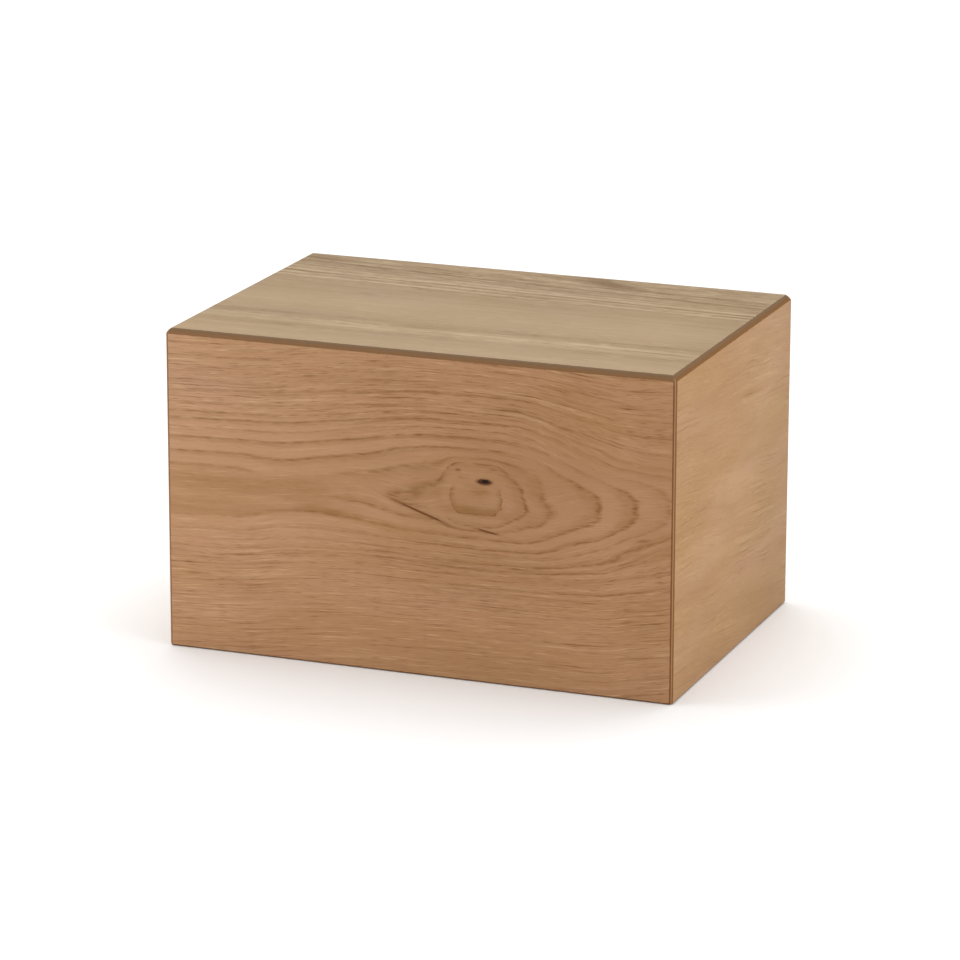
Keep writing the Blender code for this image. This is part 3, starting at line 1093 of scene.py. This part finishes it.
@dataclass
class Screws:
    """The four countersunk screws under the base panel."""

    nodes: tuple[str, ...] = ("base_screw_1", "base_screw_2", "base_screw_3", "base_screw_4")
    shank: float = 1.4 * MM
    clearance: float = 0.3 * MM
    rim: float = 0.2 * MM
    rim_round: float = 0.07 * MM
    point: float = 4.0 * MM
    cross_margin: float = 1.2 * MM
    cross_slot: float = 0.7 * MM
    cross_depth: float = 1.1 * MM
    cross_taper: float = 0.4
    past_head: float = 1.0 * MM
    steps: int = 64
    turn_between: float = 17.0
    sharp_from: float = 25.0

    def size(self, node: str) -> tuple[Vector, float, float]:
        """The middle of a screw's head, its head's radius and its length, from its CAD node.

        Args:
            node: the screw's CAD node.

        Returns:
            The middle, the radius and the length.
        """
        low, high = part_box(node)
        head = Vector(((low.x + high.x) / 2, (low.y + high.y) / 2, low.z))
        return head, (high.x - low.x) / 2, high.z - low.z

    def turn(self, name: str, profile: Points) -> bpy.types.Object:
        """A solid turned round Z from (radius, height) points, from its top to its foot.

        Args:
            name: the new object's name.
            profile: the (radius, height) points.

        Returns:
            The solid.
        """
        bm = bmesh.new()
        points = [bm.verts.new((radius, 0, height)) for radius, height in profile]
        edges = [bm.edges.new(pair) for pair in zip(points, points[1:])]
        bmesh.ops.spin(
            bm, geom=points + edges, axis=(0, 0, 1), cent=(0, 0, 0), angle=math.tau, steps=self.steps,
            use_merge=True,
        )
        bmesh.ops.remove_doubles(bm, verts=bm.verts, dist=1e-6)
        bmesh.ops.recalc_face_normals(bm, faces=bm.faces)
        return new_object(name, bm)

    def hole(self, node: str) -> bpy.types.Object:
        """The cutter for a screw's hole, a little wider than the screw and open below its head.

        Args:
            node: the screw's CAD node.

        Returns:
            The cutter, which isn't shown.
        """
        head, radius, length = self.size(node)
        bore, mouth = self.shank + self.clearance, radius + self.clearance
        cone_foot = self.rim + self.clearance
        top = length + self.clearance
        profile = (
            (0, top), (bore, top), (bore, cone_foot + mouth - bore), (mouth, cone_foot),
            (mouth, -self.past_head), (0, -self.past_head),
        )
        cutter = self.turn(node + "_hole", profile)
        cutter.data.transform(Matrix.Translation(head))
        return cutter

    def arm(self, radius: float, turn: float) -> bpy.types.Object:
        """The cutter for one arm of the cross recess, narrower towards its foot.

        Args:
            radius: the head's radius.
            turn: the arm's direction, in radians.

        Returns:
            The cutter, which isn't shown.
        """
        half, slot = radius - self.cross_margin, self.cross_slot / 2
        corner = Vector((half, slot, self.cross_depth))
        arm = block("arm", -corner, corner)
        for vertex in arm.data.vertices:
            if vertex.co.z > 0:
                vertex.co.x *= self.cross_taper
            else:
                vertex.co.x *= 2.0 - self.cross_taper
        arm.data.transform(Matrix.Rotation(turn, 4, "Z"))
        return arm

    def make(self, finish: "SteelFinish") -> None:
        """Builds and dresses every screw.

        Args:
            finish: their finish.
        """
        steel = finish.material("zinc_steel")
        for number, node in enumerate(self.nodes, start=1):
            head, radius, length = self.size(node)
            cone_top = self.rim + radius - self.shank
            profile = (
                (0, length), (self.shank, length - self.point), (self.shank, cone_top), (radius, self.rim),
                (radius, self.rim_round), (radius - self.rim_round, 0), (0, 0),
            )
            screw = self.turn(f"screw_{number}", profile)
            turn = math.radians(self.turn_between * number)
            arms = [self.arm(radius, turn + quarter) for quarter in (0, math.pi / 2)]
            subtract(screw, arms)
            for arm in arms:
                bpy.data.objects.remove(arm)
            screw.data.transform(Matrix.Translation(head))
            soften(screw, self.sharp_from)
            dress(screw, steel, node)


@dataclass
class Shell:
    """The five boards, mitred to each other all round."""

    wall: float
    top: float
    top_ease: float = 2.6 * MM
    corner_ease: float = 1.7 * MM
    foot_ease: float = 1.0 * MM
    ease_segments: int = 8
    ease_profile: float = 0.36
    seam: float = 0.03 * MM
    panel_side_gap: float = 0.5 * MM
    panel_top_gap: float = 0.3 * MM
    low: Vector = field(default_factory=lambda: CAD_LOW.copy())
    high: Vector = field(default_factory=lambda: CAD_HIGH.copy())

    @classmethod
    def from_frame(cls) -> "Shell":
        """A shell with the board thicknesses of the CAD model.

        Returns:
            The shell.
        """
        front_low, front_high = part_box(Side.FRONT.value)
        top_low, top_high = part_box(Side.TOP.value)
        return cls(wall=front_high.y - front_low.y, top=top_high.z - top_low.z)

    def edge_ease(self, edge: bmesh.types.BMEdge) -> float:
        """The easing of one edge of the outer block, by where it runs.

        Args:
            edge: an edge of the outer block.

        Returns:
            The width of its easing.
        """
        middle = (self.low.z + self.high.z) / 2
        heights = [v.co.z for v in edge.verts]
        if min(heights) > middle:
            return self.top_ease
        return self.foot_ease if max(heights) < middle else self.corner_ease

    def eased_block(self) -> bpy.types.Object:
        """The outside of the whole box in one piece, with its edges eased.

        Returns:
            The block, a guide that isn't shown.
        """
        guide = block("eased_block", self.low, self.high)
        bm = bmesh.new()
        bm.from_mesh(guide.data)
        weights = [self.edge_ease(edge) / self.top_ease for edge in bm.edges]
        bm.free()
        layer = guide.data.attributes.new("bevel_weight_edge", "FLOAT", "EDGE")
        layer.data.foreach_set("value", weights)
        bevel = guide.modifiers.new("ease", "BEVEL")
        bevel.limit_method = "WEIGHT"
        bevel.width = self.top_ease
        bevel.segments = self.ease_segments
        bevel.profile = self.ease_profile
        settle(guide)
        return guide

    def reach(self, side: Side) -> tuple[float, float]:
        """A face's distance from the middle of the footprint, and its board's thickness.

        Args:
            side: the board.

        Returns:
            The distance and the thickness.
        """
        outward = side.outward
        corner = self.high if sum(outward) > 0 else self.low
        return outward.dot(corner), self.top if side is Side.TOP else self.wall

    def board(self, side: Side, eased: bpy.types.Object) -> bpy.types.Object:
        """One board: its face of the eased block, sawn at its thickness and at each mitre.

        Args:
            side: which board.
            eased: the outside of the whole box.

        Returns:
            The board.
        """
        outward, (distance, thickness) = side.outward, self.reach(side)
        bm = bmesh.new()
        bm.from_mesh(eased.data)
        self.saw(bm, outward * (distance - thickness), -outward)
        for other in Side:
            if abs(other.outward.dot(outward)) > 0.5:
                continue
            other_distance, other_thickness = self.reach(other)
            towards = (other.outward / other_thickness - outward / thickness).normalized()
            arris = outward * distance + other.outward * other_distance
            self.saw(bm, arris - towards * self.seam / 2, towards)
        bmesh.ops.recalc_face_normals(bm, faces=bm.faces)
        return new_object(side.value.replace("board", "panel"), bm)

    @staticmethod
    def saw(bm: bmesh.types.BMesh, point: Vector, normal: Vector) -> None:
        """Saws off what lies beyond a plane and closes the cut with a flat face.

        Args:
            bm: the shape that is sawn.
            point: a point of the plane.
            normal: the direction of the waste.
        """
        everything = bm.verts[:] + bm.edges[:] + bm.faces[:]
        cut = bmesh.ops.bisect_plane(
            bm, geom=everything, dist=1e-7, plane_co=point, plane_no=normal, clear_outer=True
        )
        rim = [found for found in cut["geom_cut"] if isinstance(found, bmesh.types.BMEdge)]
        bmesh.ops.edgeloop_fill(bm, edges=rim)

    def rebate(self) -> bpy.types.Object:
        """The cutter for the step that the base panel lies in.

        Returns:
            The cutter, which isn't shown.
        """
        panel_low, panel_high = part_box("base_board")
        side = Vector((self.panel_side_gap, self.panel_side_gap, 0))
        low, high = panel_low - side, panel_high + side
        low.z, high.z = self.low.z - self.wall, panel_high.z + self.panel_top_gap
        return block("rebate", low, high)

    def make(self, woods: Mapping[Side, tuple[Figure, VeneerFinish]], screws: Screws) -> None:
        """Builds and dresses every board.

        Args:
            woods: the figure and the finish of each board.
            screws: the screws, for the holes that they need.
        """
        eased, rebate = self.eased_block(), self.rebate()
        holes = [screws.hole(node) for node in screws.nodes]
        pits = [flaw.cutter(self.low) for flaw in FLAWS]
        for side in Side:
            board = self.board(side, eased)
            if side is not Side.TOP:
                subtract(board, [rebate, *(holes if side in (Side.FRONT, Side.BACK) else [])])
            if side is Side.FRONT:
                subtract(board, pits)
            soften(board)
            flaws = FLAWS if side is Side.FRONT else ()
            figure, finish = woods[side]
            wood = BoardWood(side, figure, self.low, self.high, flaws)
            dress(board, finish.material(board.name + "_wood", wood), side.value)
        for guide in (eased, rebate, *holes, *pits):
            bpy.data.objects.remove(guide)


@dataclass(frozen=True)
class FibreboardFinish:
    """Bare fibreboard: even, matt and finely felted, with a few coarser fibres."""

    ground: Rgb = (0.235, 0.140, 0.078)
    fibre: Rgb = (0.34, 0.215, 0.125)
    roughness: float = 0.78
    fibre_share: float = 0.8
    felt_contrast: float = 0.28
    cloud_contrast: float = 0.10
    felt_matt: float = 0.08
    felt_relief_mm: float = 0.012
    strand_relief_mm: float = 0.01

    def material(self, name: str) -> bpy.types.Material:
        """The finished material.

        Args:
            name: the material's name.

        Returns:
            The material.
        """
        sheet = NodeSheet(name)
        x, y, z = sheet.coordinates()
        felt = sheet.noise(x * 1.1, y * 1.1 + z, 51.0, 4.0)
        strands = sheet.noise(x * 0.5 + y * 0.25, y * 2.2 - x * 0.9, 53.0, 3.0)
        cloud = sheet.noise(x * 0.02, y * 0.02, 55.0, 2.0)
        colour = sheet.mix(self.ground, self.fibre, strands.rise(0.05, 0.5) * self.fibre_share)
        contrast = felt * self.felt_contrast + cloud * self.cloud_contrast
        colour = sheet.scale(colour, contrast + 1.0)
        sheet.feed(sheet.shader.inputs["Base Color"], colour)
        sheet.feed(sheet.shader.inputs["Roughness"], felt * self.felt_matt + self.roughness)
        sheet.bump(felt * self.felt_relief_mm + strands * self.strand_relief_mm)
        return sheet.material


@dataclass(frozen=True)
class SteelFinish:
    """Zinc-plated steel with fine scuffs."""

    colour: Rgb = (0.62, 0.61, 0.58)
    roughness: float = 0.32
    scuff_contrast: float = 0.12
    scuff_matt: float = 0.12
    scuff_relief_mm: float = 0.004

    def material(self, name: str) -> bpy.types.Material:
        """The finished material.

        Args:
            name: the material's name.

        Returns:
            The material.
        """
        sheet = NodeSheet(name)
        x, y, z = sheet.coordinates()
        scuffs = sheet.noise(x * 2.5, y * 2.5 + z, 61.0, 3.0)
        sheet.shader.inputs["Metallic"].default_value = 1.0
        colour = sheet.scale(self.colour, scuffs * self.scuff_contrast + 1.0)
        sheet.feed(sheet.shader.inputs["Base Color"], colour)
        sheet.feed(sheet.shader.inputs["Roughness"], scuffs * self.scuff_matt + self.roughness)
        sheet.bump(scuffs * self.scuff_relief_mm)
        return sheet.material


@dataclass
class BasePanel:
    """The fibreboard panel that closes the box from below."""

    node: str = "base_board"
    ease: float = 0.4 * MM
    ease_segments: int = 3

    def make(self, finish: FibreboardFinish, screws: Screws) -> None:
        """Builds and dresses the panel, with a countersunk hole for each screw.

        Args:
            finish: its finish.
            screws: the screws, for the holes that they need.
        """
        panel = block("base_panel", *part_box(self.node))
        bevel = panel.modifiers.new("ease", "BEVEL")
        bevel.width = self.ease
        bevel.segments = self.ease_segments
        holes = [screws.hole(node) for node in screws.nodes]
        subtract(panel, holes)
        for hole in holes:
            bpy.data.objects.remove(hole)
        soften(panel)
        dress(panel, finish.material("fibreboard"), self.node)


@dataclass(frozen=True)
class SoftLight:
    """One large soft light: where it hangs, what it points at, and how large and strong it is."""

    name: str
    place: tuple[float, float, float]
    target: tuple[float, float, float]
    size: float
    watts: float
    colour: Rgb = (1.0, 1.0, 1.0)

    def make(self) -> None:
        """Adds the light."""
        data = bpy.data.lights.new(self.name, "AREA")
        data.shape = "SQUARE"
        data.size = self.size
        data.energy = self.watts
        data.color = self.colour
        lamp = bpy.data.objects.new(self.name, data)
        lamp.location = self.place
        aim = Vector(self.target) - Vector(self.place)
        lamp.rotation_euler = aim.to_track_quat("-Z", "Y").to_euler()
        bpy.context.scene.collection.objects.link(lamp)


@dataclass
class Studio:
    """The pale floor, the soft light and the camera of the photograph."""

    floor_half: float = 8.0
    floor_colour: Rgb = (0.93, 0.93, 0.93)
    floor_roughness: float = 0.9
    sky_colour: Rgb = (1.0, 1.0, 1.0)
    sky_strength: float = 0.42
    lights: tuple[SoftLight, ...] = (
        SoftLight("key_softbox", (-0.75, -0.50, 0.12), (-0.04, -0.04, 0.04), 0.45, 4.15),
        SoftLight("side_softbox", (0.80, -0.24, 0.12), (0.1, -0.06, 0.04), 0.45, 3.35),
        SoftLight("top_softbox", (-0.18, 0.75, 2.2), (-0.18, 0.65, 0.0), 3.2, 66.0),
    )
    camera_place: tuple[float, float, float] = (0.7055, -1.8493, 0.6158)
    camera_azimuth: float = 20.92
    camera_pitch: float = 15.53
    camera_roll: float = 0.14
    camera_lens: float = 175.4
    camera_sensor: float = 36.0

    def make_floor(self) -> None:
        """The plain pale floor."""
        bm = bmesh.new()
        bmesh.ops.create_grid(bm, x_segments=1, y_segments=1, size=self.floor_half)
        floor = new_object("floor", bm)
        sheet = NodeSheet("pale_floor")
        sheet.shader.inputs["Base Color"].default_value = (*self.floor_colour, 1.0)
        sheet.shader.inputs["Roughness"].default_value = self.floor_roughness
        floor.data.materials.append(sheet.material)

    def make_sky(self) -> None:
        """An even pale surround."""
        world = bpy.data.worlds.new("surround")
        world.use_nodes = True
        background = world.node_tree.nodes["Background"]
        background.inputs["Color"].default_value = (*self.sky_colour, 1.0)
        background.inputs["Strength"].default_value = self.sky_strength
        bpy.context.scene.world = world

    def make_camera(self) -> None:
        """The camera, at the photograph's place and angle."""
        azimuth, pitch = math.radians(self.camera_azimuth), math.radians(self.camera_pitch)
        data = bpy.data.cameras.new("camera")
        data.lens = self.camera_lens
        data.sensor_width = self.camera_sensor
        camera = bpy.data.objects.new("camera", data)
        turn = Matrix.Rotation(azimuth, 4, "Z") @ Matrix.Rotation(math.pi / 2 - pitch, 4, "X")
        roll = Matrix.Rotation(math.radians(self.camera_roll), 4, "Z")
        camera.matrix_world = Matrix.Translation(self.camera_place) @ turn @ roll
        bpy.context.scene.collection.objects.link(camera)
        bpy.context.scene.camera = camera

    def make(self) -> None:
        """Builds the whole studio."""
        self.make_camera()
        self.make_floor()
        self.make_sky()
        for light in self.lights:
            light.make()
        bpy.context.scene.view_settings.view_transform = "Standard"
        log.info("studio: %d soft lights, floor and camera", len(self.lights))


def main() -> None:
    """Builds the box's pieces and the studio round them."""
    logging.basicConfig(level=logging.INFO, format="%(name)s: %(message)s")
    studio = Studio()
    studio.make()
    warm = VeneerFinish()
    greyed = VeneerFinish(
        ground=(0.344, 0.235, 0.128), late=(0.215, 0.128, 0.056), light=(0.480, 0.355, 0.215),
        pore=(0.160, 0.094, 0.044), pink=(0.352, 0.248, 0.142), stain=(0.158, 0.086, 0.036),
    )
    ends = replace(
        warm, ground=(0.360, 0.211, 0.100), pink=(0.397, 0.236, 0.132), light=(0.490, 0.322, 0.174),
        arris=(0.185, 0.085, 0.030), gloss=0.06, roughness=0.62,
    )
    woods = {
        Side.FRONT: (KnotFigure(), warm),
        Side.BACK: (PlainFigure(Grain(seed=71.0), slope=-0.03), warm),
        Side.LEFT: (PlainFigure(Grain(83.0, 0.45, 0.5, 0.45, 3.2), slope=-0.06, bands=0.38), ends),
        Side.RIGHT: (PlainFigure(Grain(95.0, 0.45, 0.5, 0.45, 3.2), slope=0.105, bands=0.38), ends),
        Side.TOP: (StreakFigure(), greyed),
    }
    screws = Screws()
    Shell.from_frame().make(woods, screws)
    BasePanel().make(FibreboardFinish(), screws)
    screws.make(SteelFinish())


if __name__ == "__main__":
    main()
